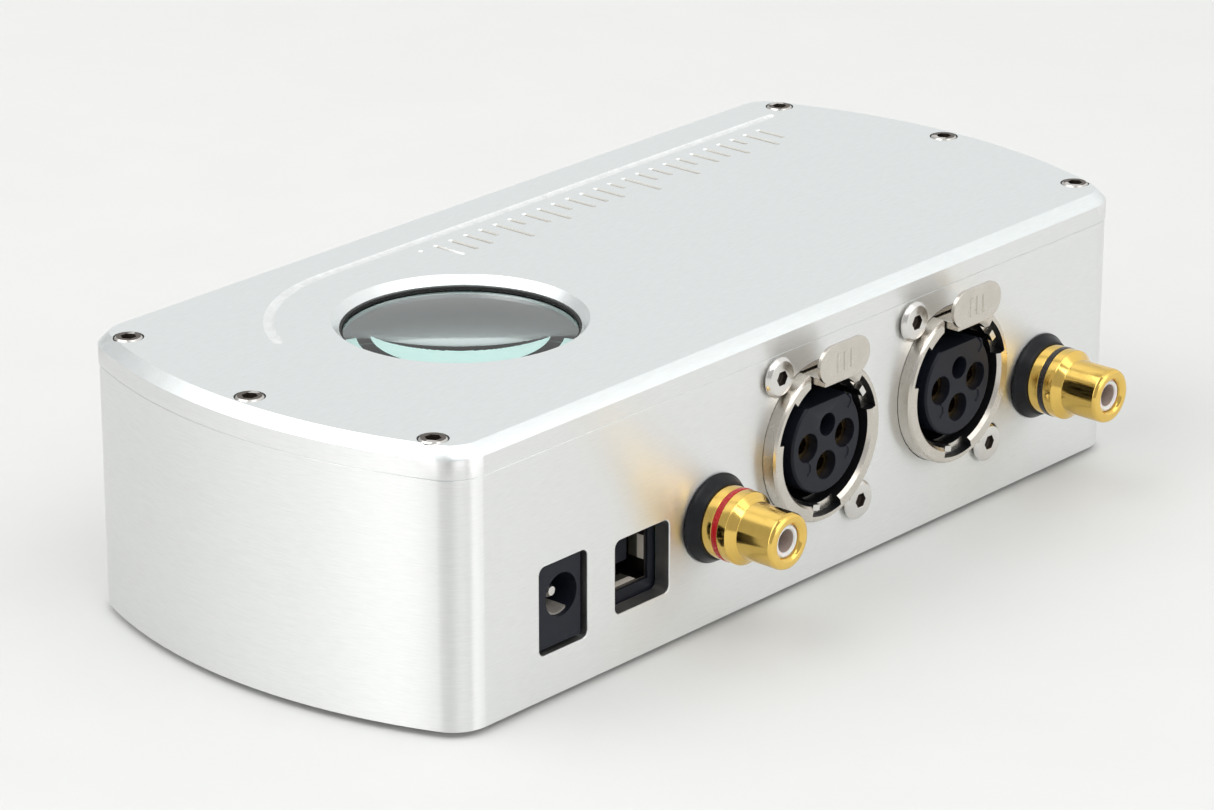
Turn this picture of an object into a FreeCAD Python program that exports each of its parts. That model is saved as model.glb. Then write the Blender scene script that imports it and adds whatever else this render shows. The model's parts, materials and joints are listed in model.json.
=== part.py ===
"""Desktop DAC: a small aluminium casing with a lens in its cover and audio sockets in its rear wall.

Local frame: X along the casing, -Y to the front, +Y out of the connector panel, Z up, with zero at
the centre of the casing's underside. Every sub-part is then moved as one, so that the origin lies
under the centre of the whole object, on the surface that its feet stand on. Millimetres.
"""
import FreeCAD, Part
import math
import os
import re
import Sketcher

DIMENSIONS = {
    # casing and cover
    "case_length": 160.0,
    "case_depth": 71.0,
    "case_height": 36.3,
    "end_bow": 8.1,
    "corner_radius": 5.8,
    "wall": 2.6,
    "floor_thickness": 2.6,
    "cover_thickness": 4.4,
    "cover_overhang": 0.1,
    "cover_chamfer": 1.6,
    "seam_chamfer": 0.12,
    # cover screws
    "corner_screw_x": 70.9,
    "corner_screw_y": 29.1,
    "end_screw_x": 76.0,
    "screw_head_radius": 2.0,
    "screw_seat_radius": 2.2,
    "screw_seat_depth": 1.6,
    "screw_shank_radius": 1.2,
    "screw_thread_length": 11.0,
    "boss_radius": 3.3,
    # lens and its aperture
    "lens_x": 34.5,
    "aperture_radius": 17.1,
    "aperture_rim_radius": 18.26,
    "aperture_rim_depth": 1.25,
    "lens_radius": 16.75,
    "lens_flange_radius": 19.3,
    "lens_flange": 1.8,
    "lens_rise": 1.6,
    "seal_thickness": 0.4,
    "seal_rise": 0.35,
    "ring_outer_radius": 24.0,
    "ring_thickness": 1.2,
    # milled line and level bars on the cover
    "mill_radius": 1.2,
    "mill_depth": 0.3,
    "line_y": -26.9,
    "line_start_x": -66.0,
    "bar_start_x": -59.0,
    "bar_pitch": 3.2,
    "bar_base_y": -23.6,
    "bar_mill_radius": 0.5,
    "bar_depth": 0.22,
    # feet
    "foot_radius": 6.0,
    "foot_height": 1.0,
    "foot_recess": 0.6,
    "foot_x": 58.0,
    "foot_y": 24.0,
    # circuit board
    "board_bottom": 6.6,
    "board_thickness": 1.6,
    "board_half_length": 66.5,
    "board_front_y": -30.0,
    "board_rear_y": 32.3,
    "board_notch_y": 30.4,
    # balanced sockets
    "xlr_right_x": -1.4,
    "xlr_left_x": -32.0,
    "xlr_height": 21.1,
    "shell_radius": 11.9,
    "shell_bore": 9.6,
    "shell_proud": 2.2,
    "shell_reach": 18.0,
    "relief_radius": 11.0,
    "insert_radius": 7.65,
    "insert_flat": 6.2,
    "latch_half_width": 3.7,
    "tab_back": 4.5,
    "tab_front": 5.1,
    "tab_height": 13.2,
    "tab_radius": 2.8,
    "tab_half_width": 5.6,
    "panel_screw_x": 9.12,
    "panel_screw_height": 12.0,
    # phono sockets
    "rca_right_x": 20.9,
    "rca_left_x": -54.3,
    "rca_height": 15.8,
    "rca_reach": 13.7,
    "rca_barrel": 4.15,
    "rca_collar": 5.3,
    "rca_thread": 4.0,
    "bush_radius": 6.5,
    "bush_thickness": 2.0,
    # power inlet
    "jack_x": 52.55,
    "jack_hole_x": 52.2,
    "jack_hole_height": 14.0,
    # data socket
    "usb_x": 36.5,
    "usb_height": 13.7,
}

MARK_BARS = 25          # level bars in the row on the cover
LINE_END_ANGLE = -26.8  # degrees round the lens where the milled line stops
RELIEF_ANGLES = (30.0, 150.0, 270.0)   # lip reliefs of a balanced socket, seen from the rear
RELIEF_WIDTH = 34.0
TOOTH_ANGLES = (34.0, 258.0)           # ground teeth, seen from the rear
PANEL = "case_depth / 2"               # outer face of the rear wall
COVER_TOP = "case_height + cover_thickness"
BOARD_TOP = "board_bottom + board_thickness"

UP = FreeCAD.Vector(0, 0, 1)
TURNS = {
    "x": FreeCAD.Rotation(FreeCAD.Vector(0, 1, 0), 90),
    "y": FreeCAD.Rotation(FreeCAD.Vector(1, 0, 0), -90),
    "z": FreeCAD.Rotation(),
}

doc = FreeCAD.newDocument("desktop_dac")
dims = doc.addObject("Spreadsheet::Sheet", "Dims")
nodes = []


# ---- the sheet and its expressions ----

def fill_sheet():
    """One row for each driving dimension: its word and its number."""
    for row, (alias, number) in enumerate(DIMENSIONS.items(), start=1):
        dims.set(f"A{row}", alias)
        dims.set(f"B{row}", str(number))
        dims.setAlias(f"B{row}", alias)
    doc.recompute()


def rule(text):
    """An expression for another object: each alias gets the sheet's name in front."""
    return re.sub(r"[a-z_]+", lambda word: "Dims." * (word[0] in DIMENSIONS) + word[0], str(text))


def value(text):
    """What an expression comes to with the sheet's present numbers."""
    return float(dims.evalExpression(str(text)))


def place(obj, x, y, z):
    for axis, text in zip("xyz", (x, y, z)):
        obj.setExpression(f"Placement.Base.{axis}", rule(text))


def node(obj, label):
    """Name a finished sub-part and move it from the casing's frame to the object's."""
    if obj.TypeId == "Part::Box":
        obj = group(label + "_solid", [obj])
    obj.Label = label
    place(obj, "0", "-(rca_reach - cover_overhang) / 2", "foot_height")
    nodes.append(obj)
    return obj


# ---- solids from primitives ----

def box(name, xs, ys, zs):
    """A block between a low and a high value on each axis."""
    block = doc.addObject("Part::Box", name)
    for size, (low, high) in zip(("Length", "Width", "Height"), (xs, ys, zs)):
        block.setExpression(size, rule(f"({high}) - ({low})"))
    place(block, xs[0], ys[0], zs[0])
    return block


def turned(kind, name, along, middle, start):
    """A round primitive on an axis through middle, from start along X, Y or Z."""
    solid = doc.addObject(kind, name)
    solid.Placement = FreeCAD.Placement(FreeCAD.Vector(), TURNS[along])
    first, second = middle
    base = {"x": (start, first, second), "y": (first, start, second), "z": (first, second, start)}
    place(solid, *base[along])
    return solid


def rod(name, radius, along, middle, span):
    solid = turned("Part::Cylinder", name, along, middle, span[0])
    solid.setExpression("Radius", rule(radius))
    solid.setExpression("Height", rule(f"({span[1]}) - ({span[0]})"))
    return solid


def cone(name, radii, along, middle, span):
    solid = turned("Part::Cone", name, along, middle, span[0])
    solid.setExpression("Radius1", rule(radii[0]))
    solid.setExpression("Radius2", rule(radii[1]))
    solid.setExpression("Height", rule(f"({span[1]}) - ({span[0]})"))
    return solid


def hexagon(name, across_flats, along, middle, span):
    solid = turned("Part::Prism", name, along, middle, span[0])
    solid.Polygon = 6
    solid.setExpression("Circumradius", rule(f"({across_flats}) / sqrt(3)"))
    solid.setExpression("Height", rule(f"({span[1]}) - ({span[0]})"))
    return solid


def fuse(name, pieces):
    joined = doc.addObject("Part::MultiFuse", name)
    joined.Shapes = pieces
    return joined


def cut(name, base, tools):
    left = doc.addObject("Part::Cut", name)
    left.Base = base
    left.Tool = tools[0] if len(tools) == 1 else fuse(name + "_tools", tools)
    return left


def common(name, pieces):
    shared = doc.addObject("Part::MultiCommon", name)
    shared.Shapes = pieces
    return shared


def group(name, pieces):
    """Separate solids that share one node."""
    bundle = doc.addObject("Part::Compound", name)
    bundle.Links = pieces
    return bundle


def tube(name, outer, inner, along, middle, span):
    wide = rod(name + "_outer", outer, along, middle, span)
    bore = rod(name + "_bore", inner, along, middle, (f"{span[0]} - 1", f"{span[1]} + 1"))
    return cut(name, wide, [bore])


def rear(offset):
    """A Y value counted outwards from the face of the connector panel."""
    return f"{PANEL} + ({offset})"


def rear_span(low, high):
    return rear(low), rear(high)


# ---- sketches and bodies ----

def new_body(name):
    return doc.addObject("PartDesign::Body", name)


def new_sketch(body, name, role, offset=("0", "0", "0")):
    """A sketch on one of the body's own origin planes, moved by an attachment offset."""
    sketch = body.newObject("Sketcher::SketchObject", name)
    plane = next(item for item in body.Origin.OriginFeatures if item.Role == role)
    sketch.AttachmentSupport = (plane, [""])
    sketch.MapMode = "FlatFace"
    for axis, text in zip("xyz", offset):
        sketch.setExpression(f"AttachmentOffset.Base.{axis}", rule(text))
    return sketch


def dimension(sketch, kind, where, text):
    """A driving dimension of a sketch, bound to an expression of the sheet."""
    index = sketch.addConstraint(Sketcher.Constraint(kind, *where, value(text)))
    label = f"size_{index}"
    sketch.renameConstraint(index, label)
    sketch.setExpression(f"Constraints.{label}", rule(text))


def join_ends(sketch, lines):
    for line, following in zip(lines, lines[1:] + lines[:1]):
        sketch.addConstraint(Sketcher.Constraint("Coincident", line, 2, following, 1))


def add_outline(sketch, corners):
    """A closed outline of straight lines through corners given as pairs of expressions."""
    points = [FreeCAD.Vector(value(x), value(y), 0) for x, y in corners]
    edges = [Part.LineSegment(a, b) for a, b in zip(points, points[1:] + points[:1])]
    lines = [sketch.addGeometry(edge) for edge in edges]
    join_ends(sketch, lines)
    for line, (x, y) in zip(lines, corners):
        dimension(sketch, "DistanceX", (-1, 1, line, 1), x)
        dimension(sketch, "DistanceY", (-1, 1, line, 1), y)


def add_circle(sketch, x, y, radius):
    centre = FreeCAD.Vector(value(x), value(y), 0)
    circle = sketch.addGeometry(Part.Circle(centre, UP, value(radius)))
    dimension(sketch, "Radius", (circle,), radius)
    dimension(sketch, "DistanceX", (-1, 1, circle, 3), x)
    dimension(sketch, "DistanceY", (-1, 1, circle, 3), y)


def add_bowed_outline(sketch, offset):
    """Straight front and rear edges joined by bowed ends, all moved outwards by offset."""
    half_length = value(f"case_length / 2 + ({offset})")
    half_depth = value(f"case_depth / 2 + ({offset})")
    bow = DIMENSIONS["end_bow"]
    straight = half_length - bow
    corners = [FreeCAD.Vector(x, y, 0) for x, y in (
        (-straight, -half_depth), (straight, -half_depth), (straight, half_depth), (-straight, half_depth))]
    right_tip = FreeCAD.Vector(half_length, 0, 0)
    left_tip = FreeCAD.Vector(-half_length, 0, 0)
    front = sketch.addGeometry(Part.LineSegment(corners[0], corners[1]))
    right = sketch.addGeometry(Part.Arc(corners[1], right_tip, corners[2]))
    back = sketch.addGeometry(Part.LineSegment(corners[2], corners[3]))
    left = sketch.addGeometry(Part.Arc(corners[3], left_tip, corners[0]))
    join_ends(sketch, [front, right, back, left])
    sketch.addConstraint(Sketcher.Constraint("Symmetric", front, 1, front, 2, -2))
    sketch.addConstraint(Sketcher.Constraint("Symmetric", front, 2, back, 1, -1))
    sketch.addConstraint(Sketcher.Constraint("Symmetric", back, 1, back, 2, -2))
    sketch.addConstraint(Sketcher.Constraint("Equal", left, right))
    depth = f"(case_depth + 2 * ({offset}))"
    dimension(sketch, "DistanceX", (front, 1, front, 2), f"case_length - 2 * end_bow + 2 * ({offset})")
    dimension(sketch, "DistanceY", (front, 2, back, 1), depth)
    dimension(sketch, "Radius", (right,), f"({depth}^2 / 4 + end_bow^2) / (2 * end_bow)")


def feature(body, kind, name, sketch, length=None, reverse=False):
    """A pad or pocket of a sketch; a pocket cuts against the sketch's normal unless reversed."""
    item = body.newObject(kind, name)
    item.Profile = sketch
    item.Reversed = reverse
    item.setExpression("Length", rule(length))
    doc.recompute()
    return item


def pad(body, name, sketch, length, reverse=False):
    return feature(body, "PartDesign::Pad", name, sketch, length, reverse)


def pocket(body, name, sketch, length, reverse=False):
    return feature(body, "PartDesign::Pocket", name, sketch, length, reverse)


def dress_edges(body, kind, size_name, name, size, chosen):
    """A fillet or chamfer of the tip's edges that a test picks out."""
    base = body.Tip
    names = [f"Edge{i}" for i, edge in enumerate(base.Shape.Edges, start=1) if chosen(edge)]
    item = body.newObject(kind, name)
    item.Base = (base, names)
    item.setExpression(size_name, rule(size))
    doc.recompute()
    return item


def fillet(body, name, radius, chosen):
    return dress_edges(body, "PartDesign::Fillet", "Radius", name, radius, chosen)


def chamfer(body, name, size, chosen):
    return dress_edges(body, "PartDesign::Chamfer", "Size", name, size, chosen)


def is_straight(edge, axis):
    """Whether an edge is a straight line along X, Y or Z."""
    if not isinstance(edge.Curve, Part.Line):
        return False
    return abs(getattr(edge.Curve.Direction, axis)) > 0.999


def lies_at(edge, height):
    """Whether a whole edge lies at one height."""
    reach = edge.BoundBox
    return abs(reach.ZMin - height) < 0.01 and abs(reach.ZMax - height) < 0.01


def revolved(name, along, middle, profile):
    """A body turned from a profile of (radius, station) corners about an axis along Y or Z."""
    body = new_body(name)
    if along == "y":
        sketch = new_sketch(body, name + "_profile", "XY_Plane", (middle[0], "0", middle[1]))
    else:
        sketch = new_sketch(body, name + "_profile", "XZ_Plane", (middle[0], "0", f"-({middle[1]})"))
    add_outline(sketch, profile)
    turn = body.newObject("PartDesign::Revolution", name + "_turn")
    turn.Profile = sketch
    turn.ReferenceAxis = (sketch, ["V_Axis"])
    turn.Angle = 360
    return body


def ring_profile(inner, outer, low, high):
    return [(inner, low), (outer, low), (outer, high), (inner, high)]


# ---- casing, cover and what holds them ----

def cover_screw_places():
    corners = [(f"{sx}corner_screw_x", f"{sy}corner_screw_y") for sx in ("", "-") for sy in ("", "-")]
    return corners + [("end_screw_x", "0"), ("-end_screw_x", "0")]


def board_screw_places():
    return [("-62", "-25"), ("0", "-25"), ("62", "-25"), ("-62", "18"), ("0", "8"), ("62", "18")]


def foot_places():
    return {
        "foot_front_left": ("-foot_x", "-foot_y"),
        "foot_front_right": ("foot_x", "-foot_y"),
        "foot_rear_left": ("-foot_x", "foot_y"),
        "foot_rear_right": ("foot_x", "foot_y"),
    }


def socket_openings(sketch):
    """Round holes of the connector panel. The sketch's X runs along the casing, its Y up."""
    for x in ("xlr_right_x", "xlr_left_x"):
        add_circle(sketch, x, "xlr_height", "shell_radius + 0.1")
        for side in ("-", "+"):
            add_circle(sketch, f"{x} {side} panel_screw_x", f"xlr_height {side} panel_screw_height", "1.6")
    for x in ("rca_right_x", "rca_left_x"):
        add_circle(sketch, x, "rca_height", "5.0")


def make_casing():
    body = new_body("casing_body")
    outline = new_sketch(body, "casing_outline", "XY_Plane")
    add_bowed_outline(outline, "0")
    pad(body, "casing_block", outline, "case_height")
    fillet(body, "casing_corners", "corner_radius", lambda edge: is_straight(edge, "z"))
    seam = value("case_height")
    chamfer(body, "casing_seam", "seam_chamfer", lambda edge: lies_at(edge, seam))

    cavity = new_sketch(body, "cavity_outline", "XY_Plane", ("0", "0", "case_height"))
    add_bowed_outline(cavity, "-wall")
    pocket(body, "cavity", cavity, "case_height - floor_thickness")
    inner_depth = DIMENSIONS["case_depth"] / 2 - DIMENSIONS["wall"]
    fillet(body, "cavity_corners", "corner_radius - wall",
           lambda edge: is_straight(edge, "z") and abs(abs(edge.BoundBox.YMax) - inner_depth) < 0.05)

    bosses = new_sketch(body, "boss_circles", "XY_Plane", ("0", "0", "floor_thickness - 0.5"))
    for x, y in cover_screw_places():
        add_circle(bosses, x, y, "boss_radius")
    pad(body, "bosses", bosses, "case_height - floor_thickness + 0.5")
    standoffs = new_sketch(body, "standoff_circles", "XY_Plane", ("0", "0", "floor_thickness - 0.5"))
    for x, y in board_screw_places():
        add_circle(standoffs, x, y, "3.0")
    pad(body, "standoffs", standoffs, "board_bottom - floor_thickness + 0.5")

    threads = new_sketch(body, "thread_circles", "XY_Plane", ("0", "0", "case_height"))
    for x, y in cover_screw_places():
        add_circle(threads, x, y, "screw_shank_radius + 0.05")
    pocket(body, "threads", threads, "screw_thread_length")
    board_threads = new_sketch(body, "board_thread_circles", "XY_Plane", ("0", "0", "board_bottom"))
    for x, y in board_screw_places():
        add_circle(board_threads, x, y, "1.05")
    pocket(body, "board_threads", board_threads, "4.6")

    recesses = new_sketch(body, "foot_recess_circles", "XY_Plane")
    for x, y in foot_places().values():
        add_circle(recesses, x, y, "foot_radius + 0.1")
    pocket(body, "foot_recesses", recesses, "foot_recess", reverse=True)

    inside = ("0", "0", f"-({PANEL} - wall - 0.5)")
    rounds = new_sketch(body, "socket_circles", "XZ_Plane", inside)
    socket_openings(rounds)
    pocket(body, "round_openings", rounds, "wall + 2")
    squares = new_sketch(body, "socket_squares", "XZ_Plane", inside)
    add_outline(squares, [("47.55", "6.4"), ("57.35", "6.4"), ("57.35", "19.5"), ("47.55", "19.5")])
    add_outline(squares, [("30.55", "7.6"), ("41.87", "7.6"), ("41.87", "18.6"), ("30.55", "18.6")])
    pocket(body, "square_openings", squares, "wall + 2")
    panel_y = DIMENSIONS["case_depth"] / 2
    fillet(body, "opening_corners", "1.1",
           lambda edge: is_straight(edge, "y") and edge.BoundBox.XMin > 30 and edge.BoundBox.XMax < 58
           and edge.BoundBox.YMax > panel_y - 0.1)
    return node(body, "casing")


def cover_blank():
    """The cover's plate with its edge chamfer, lens aperture and screw seats."""
    body = new_body("cover_plate")
    outline = new_sketch(body, "cover_outline", "XY_Plane", ("0", "0", "case_height"))
    add_bowed_outline(outline, "cover_overhang")
    pad(body, "cover_slab", outline, "cover_thickness")
    fillet(body, "cover_corners", "corner_radius + cover_overhang", lambda edge: is_straight(edge, "z"))
    top = value(COVER_TOP)
    chamfer(body, "cover_edge", "cover_chamfer", lambda edge: lies_at(edge, top))
    seam = value("case_height")
    chamfer(body, "cover_seam", "seam_chamfer", lambda edge: lies_at(edge, seam))

    seats = new_sketch(body, "screw_seat_circles", "XY_Plane", ("0", "0", COVER_TOP))
    holes = new_sketch(body, "screw_hole_circles", "XY_Plane", ("0", "0", COVER_TOP))
    for x, y in cover_screw_places():
        add_circle(seats, x, y, "screw_seat_radius")
        add_circle(holes, x, y, "screw_shank_radius + 0.15")
    pocket(body, "screw_seats", seats, "screw_seat_depth")
    pocket(body, "screw_holes", holes, "cover_thickness + 1")

    aperture = new_sketch(body, "aperture_profile", "XZ_Plane", ("lens_x", "0", "0"))
    ledge = "case_height + lens_flange + seal_thickness"
    rim = f"{COVER_TOP} - aperture_rim_depth"
    add_outline(aperture, [
        ("0", "case_height - 1"), ("lens_flange_radius + 0.1", "case_height - 1"),
        ("lens_flange_radius + 0.1", ledge), ("aperture_radius", ledge), ("aperture_radius", rim),
        ("aperture_rim_radius", COVER_TOP), ("aperture_rim_radius", f"{COVER_TOP} + 1"),
        ("0", f"{COVER_TOP} + 1")])
    groove = body.newObject("PartDesign::Groove", "aperture")
    groove.Profile = aperture
    groove.ReferenceAxis = (aperture, ["V_Axis"])
    groove.Angle = 360
    return body


def milled_line():
    """A ball-milled line along the front edge that turns round the lens as an arc."""
    height = f"{COVER_TOP} - mill_depth + mill_radius"
    straight = rod("milled_line_run", "mill_radius", "x", ("line_y", height), ("line_start_x", "lens_x"))
    start = doc.addObject("Part::Sphere", "milled_line_start")
    start.setExpression("Radius", rule("mill_radius"))
    place(start, "line_start_x", "line_y", height)
    bend = doc.addObject("Part::Torus", "milled_line_bend")
    bend.Placement = FreeCAD.Placement(FreeCAD.Vector(), FreeCAD.Rotation(UP, -90))
    place(bend, "lens_x", "0", height)
    bend.setExpression("Radius1", rule("-line_y"))
    bend.setExpression("Radius2", rule("mill_radius"))
    bend.Angle3 = 90 + LINE_END_ANGLE
    finish = doc.addObject("Part::Sphere", "milled_line_end")
    finish.setExpression("Radius", rule("mill_radius"))
    place(finish, f"lens_x - line_y * cos({LINE_END_ANGLE})", f"-line_y * sin({LINE_END_ANGLE})", height)
    return [straight, start, bend, finish]


def level_bars():
    """A row of ball-milled bars whose lengths rise and fall, ending in a dot."""
    height = f"{COVER_TOP} - bar_depth + bar_mill_radius"
    cutters = []
    for i in range(MARK_BARS):
        swell = 0.5 + 0.5 * math.sin(2.4 * i) * math.cos(0.35 * i)
        length = 0.0 if i == MARK_BARS - 1 else 2.0 + 5.6 * swell
        x = f"bar_start_x + {i} * bar_pitch"
        if length:
            cutters.append(rod(f"bar_{i}", "bar_mill_radius", "z", (x, "0"), ("0", "1")))
            cutters[-1].Placement.Rotation = TURNS["y"]
            cutters[-1].setExpression("Height", str(length))
            place(cutters[-1], x, "bar_base_y", height)
        for end in {0.0, length}:
            ball = doc.addObject("Part::Sphere", f"bar_{i}_end")
            ball.setExpression("Radius", rule("bar_mill_radius"))
            place(ball, x, f"bar_base_y + {end}", height)
            cutters.append(ball)
    return cutters


def make_cover():
    return node(cut("top_cover_cut", cover_blank(), milled_line() + level_bars()), "top_cover")


def socket_screw(name, x, y, seat, head, length):
    """A cylinder-head screw standing on seat, with a hexagon socket in its head."""
    radius, height, drive = head
    top = f"{seat} + {height}"
    cap = rod(name + "_cap", radius, "z", (x, y), (seat, f"{top} - 0.25"))
    edge = cone(name + "_edge", (radius, f"{radius} - 0.25"), "z", (x, y), (f"{top} - 0.25", top))
    shank = rod(name + "_shank", length[0], "z", (x, y), (f"{seat} - {length[1]}", seat))
    socket = hexagon(name + "_socket", drive, "z", (x, y), (f"{top} - 0.9", f"{top} + 1"))
    return cut(name, fuse(name + "_solid", [cap, edge, shank]), [socket])


def make_cover_screws():
    seat = f"{COVER_TOP} - screw_seat_depth"
    screws = [socket_screw(f"cover_screw_{i}", x, y, seat, ("screw_head_radius", "1.75", "2.0"),
                           ("screw_shank_radius", "12.0"))
              for i, (x, y) in enumerate(cover_screw_places())]
    return node(group("cover_screw_group", screws), "cover_screws")


def make_lens():
    """Clear lens: a flange under the cover's ledge and a gently domed face in the aperture."""
    middle = ("lens_x", "0")
    neck_top = f"{COVER_TOP} - 0.2"
    flange = rod("lens_flange_disc", "lens_flange_radius", "z", middle,
                 ("case_height", "case_height + lens_flange"))
    neck = rod("lens_neck", "lens_radius", "z", middle, ("case_height + 0.5", neck_top))
    dome = doc.addObject("Part::Sphere", "lens_dome")
    dome_radius = "(lens_radius^2 + lens_rise^2) / (2 * lens_rise)"
    dome.setExpression("Radius", rule(dome_radius))
    place(dome, "lens_x", "0", f"{neck_top} - {dome_radius}")
    face = common("lens_face", [neck, dome])
    node(fuse("lens_solid", [flange, face]), "lens")

    ledge = "case_height + lens_flange"
    seal_top = f"{neck_top} - lens_rise + seal_rise"
    node(revolved("lens_seal_body", "z", middle, [
        ("lens_radius", ledge), ("lens_flange_radius", ledge),
        ("lens_flange_radius", f"{ledge} + seal_thickness"),
        ("aperture_radius - 0.02", f"{ledge} + seal_thickness"),
        ("aperture_radius - 0.02", seal_top), ("lens_radius", seal_top)]), "lens_seal")


def ring_screw_places():
    return [(f"lens_x + 21.7 * cos({angle})", f"21.7 * sin({angle})") for angle in (60, 180, 300)]


def make_lens_ring():
    """Flat ring under the cover that clamps the lens, with its three screws."""
    span = ("case_height - ring_thickness", "case_height")
    plate = tube("ring_plate", "ring_outer_radius", "lens_radius", "z", ("lens_x", "0"), span)
    holes = [rod("ring_hole", "1.1", "z", place_, ("case_height - 3", "case_height + 1"))
             for place_ in ring_screw_places()]
    node(cut("lens_ring", plate, holes), "lens_retaining_ring")
    screws = []
    for i, middle in enumerate(ring_screw_places()):
        head = rod(f"ring_screw_head_{i}", "1.9", "z", middle, ("case_height - 2.6", span[0]))
        shank = rod(f"ring_screw_shank_{i}", "1.0", "z", middle, (span[0], "case_height"))
        screws.append(fuse(f"ring_screw_{i}", [head, shank]))
    node(group("ring_screw_group", screws), "ring_screws")


def make_feet():
    for label, (x, y) in foot_places().items():
        node(revolved(label + "_body", "z", (x, y), [
            ("0", "-foot_height"), ("foot_radius - 0.4", "-foot_height"),
            ("foot_radius", "-foot_height + 0.4"), ("foot_radius", "foot_recess"),
            ("0", "foot_recess")]), label)


# ---- balanced sockets ----

def sector(name, radius, x, angle, width, span):
    """A wedge of a cylinder, centred on an angle seen from the rear of the object."""
    wedge = rod(name, radius, "y", (x, "xlr_height"), span)
    wedge.Angle = width
    spin = FreeCAD.Rotation(UP, angle - width / 2 + 180)
    wedge.Placement.Rotation = TURNS["y"].multiply(spin)
    place(wedge, x, span[0], "xlr_height")
    return wedge


def make_xlr_shell(side, x):
    """Die-cast shell: a flange behind the panel and a ring that stands out of it."""
    name = f"{side}_shell"
    middle = (x, "xlr_height")
    barrel = rod(name + "_barrel", "shell_radius", "y", middle,
                 rear_span("-shell_reach", "shell_proud - 0.35"))
    lip = cone(name + "_lip", ("shell_radius", "shell_radius - 0.35"), "y", middle,
               rear_span("shell_proud - 0.35", "shell_proud"))
    flange = box(name + "_flange", (f"{x} - 13", f"{x} + 13"), rear_span("-wall - 2", "-wall"),
                 ("xlr_height - 14.6", "xlr_height + 14.8"))
    bore = rod(name + "_bore", "shell_bore", "y", middle, rear_span("-shell_reach - 1", "shell_proud + 1"))
    bevel = cone(name + "_bevel", ("shell_bore", "shell_bore + 0.8"), "y", middle,
                 rear_span("shell_proud - 0.5", "shell_proud + 0.3"))
    cuts = [bore, bevel]
    for i, angle in enumerate(RELIEF_ANGLES):
        cuts.append(sector(f"{name}_relief_{i}", "relief_radius", x, angle, RELIEF_WIDTH,
                           rear_span("0.7", "shell_proud + 1")))
    half = "(latch_half_width + 0.3)"
    cuts.append(box(name + "_slot", (f"{x} - {half}", f"{x} + {half}"),
                    rear_span("-15", "shell_proud + 1"), ("xlr_height + 8", "xlr_height + 11.3")))
    cuts.append(box(name + "_gap", (f"{x} - {half}", f"{x} + {half}"),
                    rear_span("0.1", "shell_proud + 1"), ("xlr_height + 8", "xlr_height + 13.5")))
    for sx, sz in (("+", "+"), ("-", "-")):
        cuts.append(rod(name + "_screw_hole", "1.45", "y",
                        (f"{x} {sx} panel_screw_x", f"xlr_height {sz} panel_screw_height"),
                        rear_span("-wall - 3", "-wall + 1")))
    return node(cut(name, fuse(name + "_solid", [barrel, lip, flange]), cuts), name)


def contact_places(x):
    """Centres of the three contacts: two side by side and one below."""
    return [(f"{x} + 4.13", "xlr_height + 0.2"), (f"{x} - 4.13", "xlr_height + 0.2"),
            (x, "xlr_height - 3.5")]


def make_xlr_insert(side, x):
    """Black insert with a flat top, three contact holes and one blind hole."""
    name = f"{side}_insert"
    middle = (x, "xlr_height")
    core = rod(name + "_core", "insert_radius", "y", middle, rear_span("-16", "1.6"))
    nose = cone(name + "_nose", ("insert_radius", "insert_radius - 0.3"), "y", middle,
                rear_span("1.6", "1.9"))
    base = rod(name + "_base", "shell_bore - 0.05", "y", middle, rear_span("-shell_reach", "-15.2"))
    cuts = [box(name + "_flat", (f"{x} - 9", f"{x} + 9"), rear_span("-15.2", "3"),
                ("xlr_height + insert_flat", "xlr_height + 12"))]
    for place_ in contact_places(x):
        cuts.append(rod(name + "_hole", "2.15", "y", place_, rear_span("-shell_reach - 1", "3")))
    cuts.append(rod(name + "_blind", "1.7", "y", (f"{x} - 0.2", "xlr_height + 2.6"),
                    rear_span("-2.5", "3")))
    return node(cut(name, fuse(name + "_solid", [core, nose, base]), cuts), name)


def make_xlr_contacts(side, x):
    """Three gold sockets, each with a pin down to the board."""
    name = f"{side}_contacts"
    contacts = []
    for i, (px, pz) in enumerate(contact_places(x)):
        sleeve = rod(f"{name}_{i}_sleeve", "2.1", "y", (px, pz), rear_span("-20.4", "0.4"))
        throat = rod(f"{name}_{i}_throat", "1.3", "y", (px, pz), rear_span("-12", "2"))
        leg_y = rear("-19.8")
        leg = rod(f"{name}_{i}_leg", "0.45", "z", (px, leg_y), (BOARD_TOP, pz))
        contacts.append(cut(f"{name}_{i}", fuse(f"{name}_{i}_solid", [sleeve, leg]), [throat]))
    return node(group(name, contacts), name)


def make_xlr_ground(side, x):
    """Springy ground strip inside the bore, with teeth that reach into the lip reliefs."""
    name = f"{side}_ground_contact"
    middle = (x, "xlr_height")
    strip = tube(name + "_strip", "shell_bore - 0.02", "shell_bore - 0.3", "y", middle,
                 rear_span("-5", "-1.5"))
    gap = box(name + "_gap", (f"{x} - 4.6", f"{x} + 4.6"), rear_span("-6", "0"),
              ("xlr_height", "xlr_height + 12"))
    pieces = [cut(name + "_open", strip, [gap])]
    for i, angle in enumerate(TOOTH_ANGLES):
        reach = sector(f"{name}_arm_{i}", "shell_bore - 0.02", x, angle, 9.0, rear_span("-2", "1.9"))
        hollow = rod(f"{name}_arm_hollow_{i}", "shell_bore - 0.3", "y", middle, rear_span("-3", "3"))
        pieces.append(cut(f"{name}_reach_{i}", reach, [hollow]))
        tooth = sector(f"{name}_tooth_{i}", "shell_bore + 0.6", x, angle, 9.0, rear_span("0.9", "1.9"))
        core = rod(f"{name}_tooth_hollow_{i}", "shell_bore - 0.3", "y", middle, rear_span("0", "3"))
        pieces.append(cut(f"{name}_catch_{i}", tooth, [core]))
    return node(fuse(name, pieces), name)


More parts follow.
